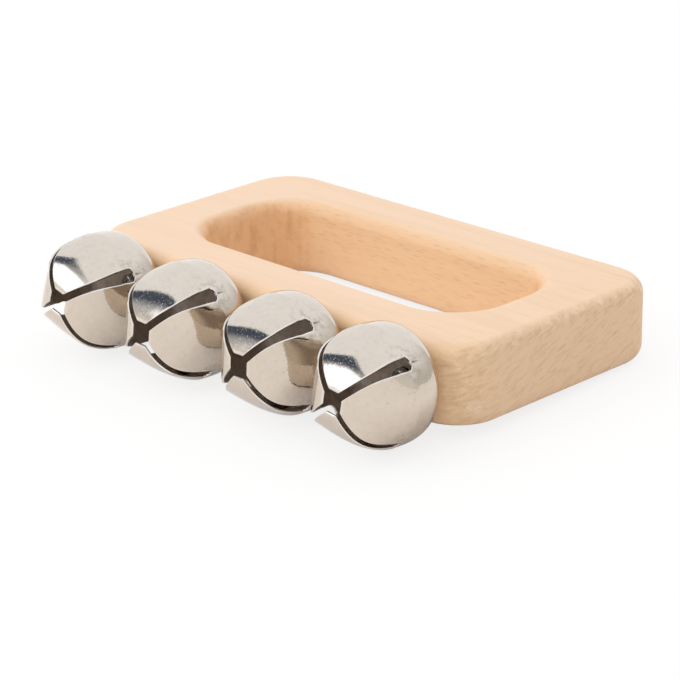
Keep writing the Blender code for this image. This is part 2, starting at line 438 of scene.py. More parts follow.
HOLE_CURVE_SHADE = (0.82, 0.41, 0.14)
BURNT = (0.55, 0.26, 0.09)
NICK_WHITE = (0.98, 0.88, 0.78)


def make_beech():
    """Satin-lacquered beech with the grain along X, painted bounce light on its sides and painted shade in
    the hole's curves.
    """
    material, tree, shader = new_material("lacquered_beech")
    place = object_place(tree)
    in_rings = add_node(tree, "ShaderNodeMapping", Vector=place, Rotation=(RING_TILT, 0.0, 0.0))
    drift = noise(tree, place, 45.0, stretch=(0.25, 1.0, 0.6))
    rings = noise(tree, in_rings, 1000.0, stretch=(0.012, 0.11, 1.0), roughness=0.55)
    hatch = noise(tree, in_rings, 2000.0, stretch=(0.03, 0.18, 1.0), roughness=0.6)
    fibre = noise(tree, place, 2600.0, stretch=(0.035, 1.0, 1.0), roughness=0.65)
    tear = noise(tree, in_rings, 1500.0, detail=2.0, stretch=(0.10, 0.30, 1.0), roughness=0.6)
    lumps = noise(tree, place, 620.0, stretch=(0.25, 1.0, 1.0))
    burn = noise(tree, place, 420.0, stretch=(1.0, 1.0, 0.55), roughness=0.6)
    (rays,) = use_group(
        tree, SPECKS, Position=in_rings, Spots_per_metre=1600.0, Stretch=6.5, Spot_size=0.46, Share=0.85
    )
    (pores,) = use_group(
        tree, SPECKS, Position=place, Spots_per_metre=2400.0, Stretch=40.0, Spot_size=0.42, Share=0.55
    )

    facing = parts_of(tree, add_node(tree, "ShaderNodeTexCoord").outputs["Normal"])
    end_facing, side_facing = (part.act("ABSOLUTE") for part in facing[:2])
    along = parts_of(tree, place)[0]
    run_out = along.past(RUN_OUT, 36 * MM)
    in_hole = along.act("ABSOLUTE").up_to(HOLE_END, 1.0 * MM)
    outside = 1.0 - in_hole
    end_grain = (end_facing + (lumps - 0.5) * 1.1).past(0.62, 0.35) * outside
    long_grain = 1.0 - end_grain
    rim = end_facing.past(0.35, 0.40) * end_facing.up_to(0.96, 0.08) * outside
    in_curve = end_facing.past(0.50, 0.6) * in_hole

    ring_depth = (rings - 0.47).act("MAXIMUM", 0.0) * (0.8 - side_facing * 0.35)
    fibre_depth = fibre.above(0.50, 4.0) * (run_out * 0.34 + 0.08) * long_grain
    patchy = (drift * 2.6 - 0.6).clamped()
    ray_depth = rays * patchy * (side_facing * 0.38 + 0.09) * long_grain
    torn = tear.above(0.50, 4.5) * rim
    pale = lumps.above(0.46, -7.0) * rim
    lines = hatch.above(0.49, 4.5) * end_grain
    pore_depth = pores * end_grain * 0.22
    near_nick = (1.0 - vector_rule(tree, "DISTANCE", place, NICK_PLACE) / NICK_REACH).clamped()
    nicked = hatch.above(0.50, 9.0) * (near_nick * 2.0).clamped()
    layers = [
        (run_out * 0.55, RUN_OUT_TAN),
        # painted warm bounce light: the sides and the hand hole's long walls get a warmer tan
        (side_facing * 0.85, SIDE_BOUNCE_TAN),
        (lumps.above(0.50, 3.0) * side_facing * 0.16, MOTTLE_BROWN),
        (ring_depth, RING_BROWN),
        (fibre_depth, FIBRE_BROWN),
        (ray_depth, RAY_BROWN),
        (torn * 0.50, TORN_BROWN),
        (pale * 0.25, RIM_PALE),
        (end_grain * 0.38, END_BROWN),
        (lines * 0.42, HATCH_BROWN),
        (pore_depth, PORE_BROWN),
        # painted shade: the hole's curved ends get a darker warm orange all over; the patches on the next
        # line are scorch
        (in_curve * 0.46, HOLE_CURVE_SHADE),
        (burn.above(0.44, 4.0) * in_curve * 0.45, BURNT),
        (nicked * 0.5, NICK_WHITE),
    ]
    base = blend_colour(tree, (drift * 1.8 - 0.4).clamped(), PALE_BEECH, DEEP_BEECH)
    rough = 0.44 + fibre * 0.10 + end_grain * 0.12
    height = (fibre + rings) * 0.4 - ray_depth * 1.2 - pore_depth - torn * 1.4 + pale * 0.5 - lines - nicked
    finish_surface(tree, shader, paint(tree, base, layers), rough, height, 0.05 * MM, 0.6)
    return material


BEECH = make_beech()
print("material:", BEECH.name)

# %% [markdown]
# ## Bright nickel plate
#
# Nickel is a warm, slightly yellow mirror. On a cheap stamped bell the plate is thin and the steel under
# it is never flat, so the reflections swim. A fine dust of rougher spots speckles the dark reflections.
# Stains cloud the plate, and the folds at the slots' ends are dulled, partly by stains and partly by
# painted shade. The cut edges carry a painted highlight, a brighter line, and the creases are painted near
# black as painted shade. Where edges, creases and folds lie only the sheet's shape can tell, so the mesh
# carries those masks and the material reads them. The rest is too small to model.

# %% Material: nickel plate
LIGHT_NICKEL = (0.62, 0.537, 0.447)
DARK_NICKEL = (0.56, 0.48, 0.397)
STAIN_AND_SHADE_BROWN = (0.42, 0.36, 0.29)
CUT_EDGE_HIGHLIGHT = (0.84, 0.80, 0.74)
DIRT_GREY = (0.26, 0.22, 0.18)
CREASE_SHADE = (0.08, 0.065, 0.055)


def attribute(tree, name):
    """A mask that the mesh carries."""
    return Rule(tree, add_node(tree, "ShaderNodeAttribute", {"attribute_name": name}).outputs["Fac"])


def make_nickel():
    """Bright plate with clouds, hairlines, dirt specks, folds dulled by stain and painted shade, a painted
    highlight on cut edges and painted shade in creases.
    """
    material, tree, shader = new_material("bright_nickel_plate")
    place = object_place(tree)
    clouds, hairs, relief = use_group(tree, HANDLED_METAL, Position=place, Cloud_size=0.005, Hairlines=0.5)
    (dirt,) = use_group(tree, SPECKS, Position=place, Spots_per_metre=900.0, Spot_size=0.26, Share=0.10)
    mottle = noise(tree, place, 3000.0, detail=2.0)
    stain = (noise(tree, place, 750.0, detail=4.0, roughness=0.6) - 0.48).act("MAXIMUM", 0.0)
    cut_edge, crease, fold = (attribute(tree, name) for name in ("cut_edge", "crease", "slot_dent"))
    # the folds at the slots' ends are dulled partly by stain and partly by painted shade
    dull = (fold * stain * 22.0).clamped()
    layers = [
        (stain * 0.90 + dull * 0.50, STAIN_AND_SHADE_BROWN),
        # painted highlight: a brighter line along the cut edges
        (cut_edge * (clouds * 1.6 - 0.4).clamped() * 0.9, CUT_EDGE_HIGHLIGHT),
        (dirt * 0.6, DIRT_GREY),
        # painted shade: the creases are painted near black
        ((crease * 2.2 - 1.0).clamped() * 0.95, CREASE_SHADE),
    ]
    base = blend_colour(tree, (clouds * 1.4 - 0.2).clamped(), LIGHT_NICKEL, DARK_NICKEL)
    rough = 0.025 + clouds * 0.06 + hairs * 0.12 + dirt * 0.3 + cut_edge * 0.08 + dull * 0.12
    rough = rough + mottle.above(0.55, 8.0) * 0.22
    height = relief + hairs * -0.12 + mottle * 0.4
    shader.inputs["Metallic"].default_value = 1.0
    finish_surface(tree, shader, paint(tree, base, layers), rough, height, 0.03 * MM, 0.35)
    return material


NICKEL = make_nickel()
print("material:", NICKEL.name)

# %% [markdown]
# ## Iron pellets and zinc-plated screws
#
# These are glimpsed through the slots only, but they are finished like the rest. A pellet is tumbled bare
# iron: dark, pitted, and polished on the high spots by years of rattling. A screw has a thin grey-white
# zinc coat with a faint sparkle.

# %% Materials: inside of the bells, pellet iron and screw zinc


def make_plain_metal(name, light, dark, roughness, pit_share, depth):
    """A handled metal with pits: light on the high spots and dark in the pits."""
    material, tree, shader = new_material(name)
    place = object_place(tree)
    clouds, _, relief = use_group(tree, HANDLED_METAL, Position=place, Cloud_size=0.0016, Hairlines=0.8)
    (pits,) = use_group(tree, SPECKS, Position=place, Spots_per_metre=2600.0, Spot_size=0.4, Share=pit_share)
    colour = blend_colour(tree, (clouds * 2.0 - 0.5).clamped(), light, dark)
    in_pits = tuple(0.4 * level for level in dark)
    colour = blend_colour(tree, pits * 0.7, colour, in_pits)
    shader.inputs["Metallic"].default_value = 1.0
    finish_surface(tree, shader, colour, clouds * 0.2 + pits * 0.3 + roughness, relief - pits, depth, 0.6)
    return material


IRON = make_plain_metal("tumbled_iron", (0.40, 0.37, 0.34), (0.22, 0.19, 0.17), 0.26, 0.5, 0.06 * MM)
ZINC = make_plain_metal("zinc_plate", (0.70, 0.69, 0.66), (0.52, 0.51, 0.49), 0.18, 0.2, 0.02 * MM)
INSIDE = make_plain_metal("unplated_inside", (0.80, 0.70, 0.61), (0.58, 0.49, 0.42), 0.42, 0.4, 0.02 * MM)
print("materials:", IRON.name, ZINC.name, "and", INSIDE.name)

# %% [markdown]
# ## The board
#
# The real frame is cut from 18 mm board: first the outline and the hand hole, then a router with a
# quarter-round bit runs along all four rims. The same two steps could be a flat shape with a Bevel
# modifier. Here the rings that the bit would cut are placed one by one, because a ring close inside each
# rim keeps the flat faces flat when the whole is shaded smooth.

# %% Outline of a rounded rectangle


def rounded_outline(length, width, corner, steps):
    """Points of a rectangle with round corners, centred on the origin, with points along its sides."""
    points = []
    for quarter, (side_x, side_y) in enumerate([(1, 1), (-1, 1), (-1, -1), (1, -1)]):
        centre = Vector((side_x * (length / 2 - corner), side_y * (width / 2 - corner), 0.0))
        for step in range(steps + 1):
            angle = pi / 2 * (quarter + step / steps)
            points.append(centre + corner * Vector((cos(angle), sin(angle), 0.0)))
    return points


def new_piece(name, mesh, material):
    """A finished mesh as an object at the origin, with its material."""
    piece = bpy.data.objects.new(name, mesh)
    bpy.context.scene.collection.objects.link(piece)
    mesh.materials.clear()
    mesh.materials.append(material)
    return piece


def mesh_of(build, name):
    """A bmesh as a smooth-shaded mesh."""
    mesh = bpy.data.meshes.new(name)
    build.to_mesh(mesh)
    build.free()
    mesh.shade_smooth()
    return mesh


print("mesh helpers ready")

# %% Rings of the board's cross-section
CORNER_STEPS = 28
ROUND_STEPS = 10
FLAT_RING = 0.35 * MM


def rim_profile():
    """(inset from the outline, height above the middle) from the top face round to the bottom face."""
    half = BOARD_SIZE.z / 2
    top = [(EDGE_ROUND + FLAT_RING, half)]
    for step in range(ROUND_STEPS + 1):
        angle = pi / 2 * step / ROUND_STEPS
        top.append((EDGE_ROUND * (1 - sin(angle)), half - EDGE_ROUND * (1 - cos(angle))))
    top.append((0.0, half - EDGE_ROUND - FLAT_RING))
    return top + [(inset, -height) for inset, height in reversed(top)]


def board_mesh():
    """The board: its outer rim, its underside, the rim of its hand hole and its top."""
    build = bmesh.new()
    profile = rim_profile()
    hole_middle = BOARD_LOW.y + BELL_RAIL + HOLE_WIDTH / 2
    rims = [
        (profile, -1, BOARD_SIZE.x, BOARD_SIZE.y, BOARD_CORNER, BOARD_MIDDLE.y),
        (profile[::-1], 1, HOLE_LENGTH, HOLE_WIDTH, HOLE_CORNER, hole_middle),
    ]
    loops = []
    for rings, outwards, length, width, corner, middle in rims:
        for inset, height in rings:
            wider = outwards * inset
            place = Vector((0.0, middle, BOARD_MIDDLE.z + height))
            outline = rounded_outline(length + 2 * wider, width + 2 * wider, corner + wider, CORNER_STEPS)
            loops.append([build.verts.new(point + place) for point in outline])
    for loop, following in zip(loops, loops[1:] + loops[:1]):
        for k in range(len(loop)):
            after = (k + 1) % len(loop)
            build.faces.new((loop[k], loop[after], following[after], following[k]))
    bmesh.ops.recalc_face_normals(build, faces=build.faces)
    return mesh_of(build, "beech_board")


board = new_piece("beech_board", board_mesh(), BEECH)
print("board:", len(board.data.polygons), "faces")

# %% Screw holes in the board
DRILL_STEPS = 48
SHARP_ANGLE = radians(50)


def turned_mesh(name, profile, steps):
    """Turn a profile of (radius, y), pole to pole, about the Y axis. A radius may be a rule of the turn."""
    build = bmesh.new()
    turns = [2 * pi * k / steps for k in range(steps)]
    rings = []
    for radius, y in profile:
        if radius == 0.0:
            rings.append([build.verts.new((0.0, y, 0.0))] * steps)
            continue
        reach = [radius(turn) if callable(radius) else radius for turn in turns]
        rings.append([build.verts.new((r * cos(turn), y, r * sin(turn))) for r, turn in zip(reach, turns)])
    for ring, following in zip(rings, rings[1:]):
        for k in range(steps):
            corners = [ring[k], ring[(k + 1) % steps], following[(k + 1) % steps], following[k]]
            build.faces.new(list(dict.fromkeys(corners)))
    bmesh.ops.recalc_face_normals(build, faces=build.faces)
    return mesh_of(build, name)


def evaluated_mesh(piece):
    """The mesh that a piece's modifiers give, as plain data."""
    bpy.context.view_layer.update()
    return bpy.data.meshes.new_from_object(piece.evaluated_get(bpy.context.evaluated_depsgraph_get()))


def cut_mesh(piece, cutter_mesh):
    """Take a cutter's shape out of a piece for good."""
    cutter = new_piece("cutter", cutter_mesh, piece.data.materials[0])
    cut = piece.modifiers.new("cut", "BOOLEAN")
    cut.object = cutter
    cut.solver = "EXACT"
    left = evaluated_mesh(piece)
    piece.modifiers.clear()
    piece.data = left
    bpy.data.objects.remove(cutter, do_unlink=True)


def drill_board():
    """Bore the four holes that take the screws' shanks."""
    depth = BELL_RAIL - SCREW_COVER + SEAT_GAP
    profile = [(0.0, -EDGE_ROUND), (SHANK_HOLE, -EDGE_ROUND), (SHANK_HOLE, depth), (0.0, depth)]
    for seat in SEATS:
        drill = turned_mesh("drill", profile, DRILL_STEPS)
        drill.transform(seat)
        cut_mesh(board, drill)
    board.data.shade_smooth()
    board.data.set_sharp_from_angle(angle=SHARP_ANGLE)


drill_board()
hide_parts("wooden_frame")
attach(board, "stick")
print("board with screw holes:", len(board.data.polygons), "faces")

# %% [markdown]
# ## The bell shells
#
# A jingle bell starts as a cross-shaped blank. The press draws its middle into a cup, and its four arms
# are folded over a pellet until their tips almost meet. So the shape follows a rule: near the cup each
# petal is part of a round dome, and towards its tip it goes flat, while its edges keep to a curve of
# their own along the slots. A Geometry Nodes tree is a good home for such a rule. It bends one flat grid
# into a petal, with the numbers above as its inputs, makes four of it, joins them where the back is
# whole, and dents them a little at random, each bell with its own seed.
#
# The flat grid is marked before it is bent: where the sheet was cut, where it creases, and where a slot
# ends. The marks stay on the mesh, so the dents and the plate's finish find their places by them. The
# slots' ends are left ragged, as a blunt punch leaves them, and each mouth stands a little to one side,
# because every petal was folded by its own stroke.

# %% Geometry tree: the petal's formula
TIP_SHARE = 0.50
END_SHARE = 0.14
EDGE_CROWDING = 0.35


def station(tree, share, low, high, depth, fullness):
    """Distance from the widest ring, spread evenly round the profile's curve from low to high."""
    half = Rule(tree, fullness) * 0.5
    first = (Rule(tree, low) / depth) ** half
    last = (Rule(tree, high) / depth) ** half
    turn = first.act("ARCSINE") * (1.0 - share) + last.act("ARCSINE") * share
    return turn.act("SINE") ** (Rule(tree, 1.0) / half) * depth


def profile_reach(tree, distance, depth, fullness, radius):
    """Distance from the axis to the wall, at a distance from the widest ring."""
    share = (distance / depth).act("MINIMUM", 1.0)
    return (1.0 - share**fullness) ** (Rule(tree, 1.0) / fullness) * radius


def profile_depth(reach, depth, fullness):
    """Distance from the widest ring at which the wall has come in to a reach."""
    return depth * (1 - (reach / BELL_RADIUS) ** fullness) ** (1 / fullness)


TIP_DEPTH = profile_depth(MOUTH_HALF * sqrt(2), BELL_FRONT, FRONT_FULLNESS)
BASE_DEPTH = profile_depth(SHANK_HOLE, BELL_BACK, BACK_FULLNESS)
print("the petals' tips stand", round(TIP_DEPTH / MM, 2), "mm in front of the bell's widest ring")

# %% Geometry tree: one petal
SHELL_COLUMNS = 27
SHELL_ROWS = 65
RING_SHARE = 0.05
CREASE_LENGTH = 3.2 * MM
CREASE_WIDTH = 0.22 * MM
CUT_EDGE_WIDTH = 0.16 * MM
TORN_EDGE_WIDTH = 0.20 * MM
TIP_EDGE_WIDTH = 0.3 * MM
SLOT_DENT_LENGTH = 2.6 * MM
SLOT_DENT_WIDTH = 2.4 * MM
TEARS_ALONG_PETAL = 28.0
EDGES_APART = 3.0
TEAR_SCALE = 5.0
TEAR_DETAIL = 3.0
TEAR_EVERYWHERE = 0.10
BULGE_AHEAD = 0.04
BULGE_LENGTH = 0.16


def seeded_noise(tree, seed, per_metre, detail, **values):
    """A noise value that changes with a seed, at the place of each point unless another is given."""
    settings = {"W": seed, "Scale": per_metre, "Detail": detail, **values}
    node = add_node(tree, "ShaderNodeTexNoise", {"noise_dimensions": "4D"}, **settings)
    return Rule(tree, node.outputs["Fac"])


def keep_number(tree, shape, name, value, domain="POINT"):
    """Store a number on a shape under a name."""
    settings = {"data_type": "FLOAT", "domain": domain}
    values = {"Geometry": shape, "Name": name, "Value": value}
    return add_node(tree, "GeometryNodeStoreNamedAttribute", settings, **values)


def flat_sheet(tree):
    """A flat grid, and the place across it (-1 to 1) and along it (0 at the tip to 1 at the base)."""
    sizes = {"Size_X": 1.0, "Size_Y": 1.0, "Vertices_X": SHELL_COLUMNS, "Vertices_Y": SHELL_ROWS}
    grid = add_node(tree, "GeometryNodeMeshGrid", **sizes)
    x, y, _ = parts_of(tree, add_node(tree, "GeometryNodeInputPosition"))
    side = (x * (pi * EDGE_CROWDING)).act("SINE") / sin(pi / 2 * EDGE_CROWDING)
    return grid, side, y + 0.5


def bent_petal(tree, given):
    """A flat sheet bent into a petal, with the masks for the dents and the finish stored on it."""
    radius, front, back = (Rule(tree, given[n]) for n in ("Radius", "Front depth", "Back depth"))
    tip, start = Rule(tree, given["Tip depth"]), Rule(tree, given["Slot start"])
    slot_mouth, slot_end = Rule(tree, given["Slot at mouth"]), Rule(tree, given["Slot at end"])
    shape, side, row = flat_sheet(tree)

    end_radius = slot_end * 0.5
    full_width = start + end_radius
    to_full = (row / TIP_SHARE).clamped()
    to_end = ((row - TIP_SHARE) / END_SHARE).clamped()
    past_end = TIP_SHARE + END_SHARE
    to_ring = ((row - past_end) / RING_SHARE).clamped()
    to_base = ((row - past_end - RING_SHARE) / (1.0 - past_end - RING_SHARE)).clamped()

    forward_petal = station(tree, to_full, tip, full_width, front, given["Front fullness"])
    end_turn = (1.0 - to_end) * (pi / 2)
    forward_end = start + end_radius * (1.0 - end_turn.act("COSINE"))
    forward = forward_petal + forward_end - full_width - start * to_ring
    backward = station(tree, to_base, 0.0, given["Base depth"], back, given["Back fullness"])
    along = ((forward - full_width) / (tip - full_width)).clamped()

    edge_place = add_node(
        tree, "ShaderNodeCombineXYZ", X=side.act("SIGN") * EDGES_APART, Y=row * TEARS_ALONG_PETAL
    )
    torn = seeded_noise(tree, given["Seed"], TEAR_SCALE, TEAR_DETAIL, Vector=edge_place)
    near_end = (row - (TIP_SHARE + END_SHARE * 0.4)).bell_curve(END_SHARE * 0.6)
    ragged = 1.0 + (torn - 0.5) * (near_end * given["Torn end"] + TEAR_EVERYWHERE)
    ragged = ragged + (row - (TIP_SHARE - BULGE_AHEAD)).bell_curve(BULGE_LENGTH) * given["End bulge"]
    slot_half = end_radius * end_turn.act("SINE") * ragged + (slot_mouth - slot_end) * 0.5 * along

    back_share = profile_reach(tree, backward, back, given["Back fullness"], 1.0)
    reach = profile_reach(tree, forward, front, given["Front fullness"], radius) * back_share
    half_chord = reach / sqrt(2)
    fade = (1.0 - (forward / tip).clamped() ** given["Petal fade"]) ** given["Petal close"]
    full_rise = radius * (1 - 1 / sqrt(2))
    crown = Rule(tree, given["Petal crown"])
    rise = (crown + (full_rise - crown) * fade) * back_share
    bend = (half_chord * half_chord + rise * rise) / (rise * 2.0)
    half_angle = (half_chord / bend).act("MINIMUM", 1.0).act("ARCSINE") - slot_half / bend
    angle = half_angle * side
    petal_place = add_node(
        tree,
        "ShaderNodeCombineXYZ",
        X=bend * angle.act("SINE"),
        Y=backward - forward - back,
        Z=half_chord + rise - bend * (1.0 - angle.act("COSINE")),
    )

    from_edge = bend * half_angle * (1.0 - side.act("ABSOLUTE"))
    near_tip = (row * (tip * 1.6)).bell_curve(TIP_EDGE_WIDTH)
    near_slot = from_edge.bell_curve(near_end * TORN_EDGE_WIDTH + CUT_EDGE_WIDTH) * (1.0 - to_ring)
    past_ring = (1.0 - backward / CREASE_LENGTH).clamped()
    past_slot = backward - forward + start
    masks = {
        "cut_edge": near_tip.act("MAXIMUM", near_slot),
        "crease": from_edge.bell_curve(CREASE_WIDTH) * to_ring * past_ring.act("SQRT"),
        "slot_dent": past_slot.bell_curve(SLOT_DENT_LENGTH) * from_edge.bell_curve(SLOT_DENT_WIDTH),
        "petal_tip": along * along,
    }
    for name, mask in masks.items():
        shape = keep_number(tree, shape, name, mask)
    return add_node(tree, "GeometryNodeSetPosition", Geometry=shape, Position=petal_place)


print("the rule of a petal is ready, on a grid of", SHELL_COLUMNS, "by", SHELL_ROWS, "points")

# %% Geometry tree: bell shell
PETALS = 4
WELD_GAP = 0.001 * MM


def joined_petals(tree, petal, seed):
    """Four of a petal round the axis, each with a spring of its own, joined where the back is whole."""
    points = add_node(tree, "GeometryNodeMeshLine", Count=PETALS, Offset=(0.0, 0.0, 0.0))
    index = Rule(tree, add_node(tree, "GeometryNodeInputIndex"))
    turn = add_node(tree, "ShaderNodeCombineXYZ", Y=index * (2 * pi / PETALS))
    petals = add_node(tree, "GeometryNodeInstanceOnPoints", Points=points, Instance=petal, Rotation=turn)
    chance = add_node(tree, "FunctionNodeRandomValue", {"data_type": "FLOAT"}, Min=-1.0, Max=1.0, Seed=seed)
    spring = next(socket for socket in chance.outputs if socket.enabled)
    numbered = keep_number(tree, petals, "petal_spring", spring, "INSTANCE")
    whole = add_node(tree, "GeometryNodeRealizeInstances", Geometry=numbered)
    return add_node(tree, "GeometryNodeMergeByDistance", Geometry=whole, Distance=WELD_GAP)


def stored(tree, name):
    """A number that was stored on the shape."""
    return Rule(tree, add_node(tree, "GeometryNodeInputNamedAttribute", {"data_type": "FLOAT"}, Name=name))


def moved(tree, shape, direction, distance):
    """A shape with each point moved along a direction."""
    step = add_node(tree, "ShaderNodeVectorMath", {"operation": "SCALE"}, Vector=direction, Scale=distance)
    return add_node(tree, "GeometryNodeSetPosition", Geometry=shape, Offset=step)


def dressed(tree, shape, material):
    """The last steps of a tree: smooth shading, real geometry and a material."""
    smooth = add_node(tree, "GeometryNodeSetShadeSmooth", Geometry=shape)
    whole = add_node(tree, "GeometryNodeRealizeInstances", Geometry=smooth)
    return add_node(tree, "GeometryNodeSetMaterial", Geometry=whole, Material=material)


def make_shell_tree():
    """The petal's rule, made four times, joined at the back and dented a little by the press."""
    inputs = [
        ("Radius", FLOAT, BELL_RADIUS),
        ("Front depth", FLOAT, BELL_FRONT),
        ("Front fullness", FLOAT, FRONT_FULLNESS),
        ("Back depth", FLOAT, BELL_BACK),
        ("Back fullness", FLOAT, BACK_FULLNESS),
        ("Tip depth", FLOAT, TIP_DEPTH),
        ("Base depth", FLOAT, BASE_DEPTH),
        ("Slot start", FLOAT, SLOT_START),
        ("Slot at mouth", FLOAT, SLOT_WIDTH_MOUTH),
        ("Slot at end", FLOAT, SLOT_WIDTH_END),
        ("Petal crown", FLOAT, PETAL_CROWN),
        ("Petal fade", FLOAT, PETAL_FADE),
        ("Petal close", FLOAT, PETAL_CLOSE),
        ("Mouth shift", VECTOR, (0.0, 0.0, 0.0)),
        ("Dent depth", FLOAT, 0.05 * MM),
        ("Crease depth", FLOAT, 0.16 * MM),
        ("Torn end", FLOAT, 2.3),
        ("End bulge", FLOAT, 0.24),
        ("Petal spring", FLOAT, 0.10 * MM),
        ("Seed", FLOAT, 0.0),
        ("Material", MATERIAL, None),
    ]
    tree, given, result = new_tree("GeometryNodeTree", "bell_shell", inputs, [("Shell", GEOMETRY, None)])
    shape = joined_petals(tree, bent_petal(tree, given), given["Seed"])
    depth = Rule(tree, given["Dent depth"])
    wide_dents = (seeded_noise(tree, given["Seed"], 110.0, 1.0) - 0.5) * 2.0 * depth
    slot_dents = (seeded_noise(tree, given["Seed"], 480.0, 2.0) - 0.5) * 2.0 * stored(tree, "slot_dent")
    lift = wide_dents + slot_dents * depth * 3.0 - stored(tree, "crease") * given["Crease depth"]
    lift = lift + stored(tree, "petal_tip") * stored(tree, "petal_spring") * given["Petal spring"]
    shape = moved(tree, shape, add_node(tree, "GeometryNodeInputNormal"), lift)
    shape = moved(tree, shape, given["Mouth shift"], stored(tree, "petal_tip"))
    feed(tree, result["Shell"], dressed(tree, shape, given["Material"]))
    return tree


SHELL_TREE = make_shell_tree()
print("geometry tree:", SHELL_TREE.name, "with", len(SHELL_TREE.nodes), "nodes")

# %% Run a geometry tree


def grow_mesh(tree, name, **values):
    """The plain mesh that a geometry tree gives for its inputs. Underscores in names stand for spaces."""
    seed_mesh = bpy.data.meshes.new(name)
    holder = bpy.data.objects.new(name, seed_mesh)
    bpy.context.scene.collection.objects.link(holder)
    grower = holder.modifiers.new("grower", "NODES")
    grower.node_group = tree
    for item in tree.interface.items_tree:
        if item.in_out == "INPUT" and item.name.replace(" ", "_") in values:
            grower[item.identifier] = values[item.name.replace(" ", "_")]
    grown = evaluated_mesh(holder)
    grown.name = name
    bpy.data.objects.remove(holder, do_unlink=True)
    bpy.data.meshes.remove(seed_mesh)
    return grown


print("geometry trees can be run")

# %% Four bells
SHELL_SEEDS = (3.0, 11.0, 7.0, 5.0)
MOUTH_SHIFTS = (
    Vector((-0.22, 0.0, 0.04)) * MM,
    Vector((-0.38, 0.0, -0.29)) * MM,
    Vector((0.23, 0.0, 0.30)) * MM,
    Vector((0.69, 0.0, -0.17)) * MM,
)
RIM_CREASE = 0.45


def point_outwards(mesh, middle):
    """Turn the faces of an open shell so that they look away from its middle."""
    build = bmesh.new()
    build.from_mesh(mesh)
    bmesh.ops.recalc_face_normals(build, faces=build.faces)
    build.faces.ensure_lookup_table()
    first = build.faces[0]
    if first.normal.dot(first.calc_center_median() - middle) < 0:
        bmesh.ops.reverse_faces(build, faces=build.faces)
    build.to_mesh(mesh)
    build.free()


def make_bell(number):
    """A bell shell in place on its seat: bent sheet with a thickness, a dull inside and softened edges."""
    turn = Matrix.Rotation(BELL_TURNS[number - 1], 4, "Y")
    mesh = grow_mesh(
        SHELL_TREE,
        f"jingle_bell_{number}",
        Seed=SHELL_SEEDS[number - 1],
        Material=NICKEL,
        Mouth_shift=turn.inverted() @ MOUTH_SHIFTS[number - 1],
    )
    point_outwards(mesh, Vector((0.0, -BELL_BACK, 0.0)))
    mesh.transform(SEATS[number - 1] @ Matrix.Translation((0.0, -SEAT_GAP, 0.0)) @ turn)
    bell = new_piece(f"jingle_bell_{number}", mesh, NICKEL)
    sheet = bell.modifiers.new("sheet", "SOLIDIFY")
    sheet.thickness = BELL_SHEET
    sheet.offset = -1.0
    sheet.use_even_offset = True
    bell.data.materials.append(INSIDE)
    sheet.material_offset = 1
    sheet.edge_crease_outer = sheet.edge_crease_inner = RIM_CREASE
    soft = bell.modifiers.new("soft_edges", "SUBSURF")
    soft.levels = soft.render_levels = 1
    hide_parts(f"bell_{number}")
    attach(bell, f"bell_{number}")
    return bell


bells = [make_bell(number) for number in range(1, len(SEATS) + 1)]
print("bells:", [len(bell.data.polygons) for bell in bells], "faces before their sheet is thickened")

# %% [markdown]
# ## Pellets
#
# A pellet is a small iron ball that was tumbled rather than turned, so it is never quite round. A
# subdivided icosphere has even faces and no poles, which takes random dents well. A small tree gives each
# pellet its own lumps and flats from one rule.

# %% Geometry tree and pieces: pellets
LUMPS_PER_METRE = 420.0
FLATS_PER_METRE = 520.0
BALL_SUBDIVISIONS = 5


def make_pellet_tree():
    """A ball with soft lumps, small flats and pits."""
    inputs = [
        ("Radius", FLOAT, PELLET_RADIUS),
        ("Lump depth", FLOAT, 0.07 * MM),
        ("Seed", FLOAT, 0.0),
        ("Material", MATERIAL, None),
    ]
    tree, given, result = new_tree("GeometryNodeTree", "iron_pellet", inputs, [("Pellet", GEOMETRY, None)])
    sizes = {"Radius": given["Radius"], "Subdivisions": BALL_SUBDIVISIONS}
    ball = add_node(tree, "GeometryNodeMeshIcoSphere", **sizes)
    lumps = seeded_noise(tree, given["Seed"], LUMPS_PER_METRE, 2.0)
    settings = {"voronoi_dimensions": "4D", "feature": "F1"}
    flats = add_node(tree, "ShaderNodeTexVoronoi", settings, W=given["Seed"], Scale=FLATS_PER_METRE)
    lift = (lumps * -1.0 - Rule(tree, flats.outputs["Distance"]) * 0.6) * given["Lump depth"]
    shape = moved(tree, ball, add_node(tree, "GeometryNodeInputNormal"), lift)
    feed(tree, result["Pellet"], dressed(tree, shape, given["Material"]))
    return tree


PELLET_TREE = make_pellet_tree()


def make_pellet(number):
    """A loose pellet where its solid lies, in the belly of its bell."""
    low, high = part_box(f"pellet_{number}")
    mesh = grow_mesh(PELLET_TREE, f"iron_pellet_{number}", Seed=float(number), Material=IRON)
    mesh.transform(Matrix.Translation((low + high) / 2) @ Matrix.Rotation(number, 4, "X"))
    pellet = new_piece(f"iron_pellet_{number}", mesh, IRON)
    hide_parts(f"pellet_{number}")
    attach(pellet, f"pellet_{number}")
    return pellet


pellets = [make_pellet(number) for number in range(1, len(SEATS) + 1)]
print("pellets:", [len(pellet.data.polygons) for pellet in pellets], "faces")

# %% [markdown]
# ## Screws
#
# Each bell hangs on a pan-head wood screw. The thread is a ridge that climbs round the shank, so its mesh
# is a tube whose radius rises and falls with both the turn and the height. The driver's cross is cut into
# the head with tapered blades, as the punch that forms it has.

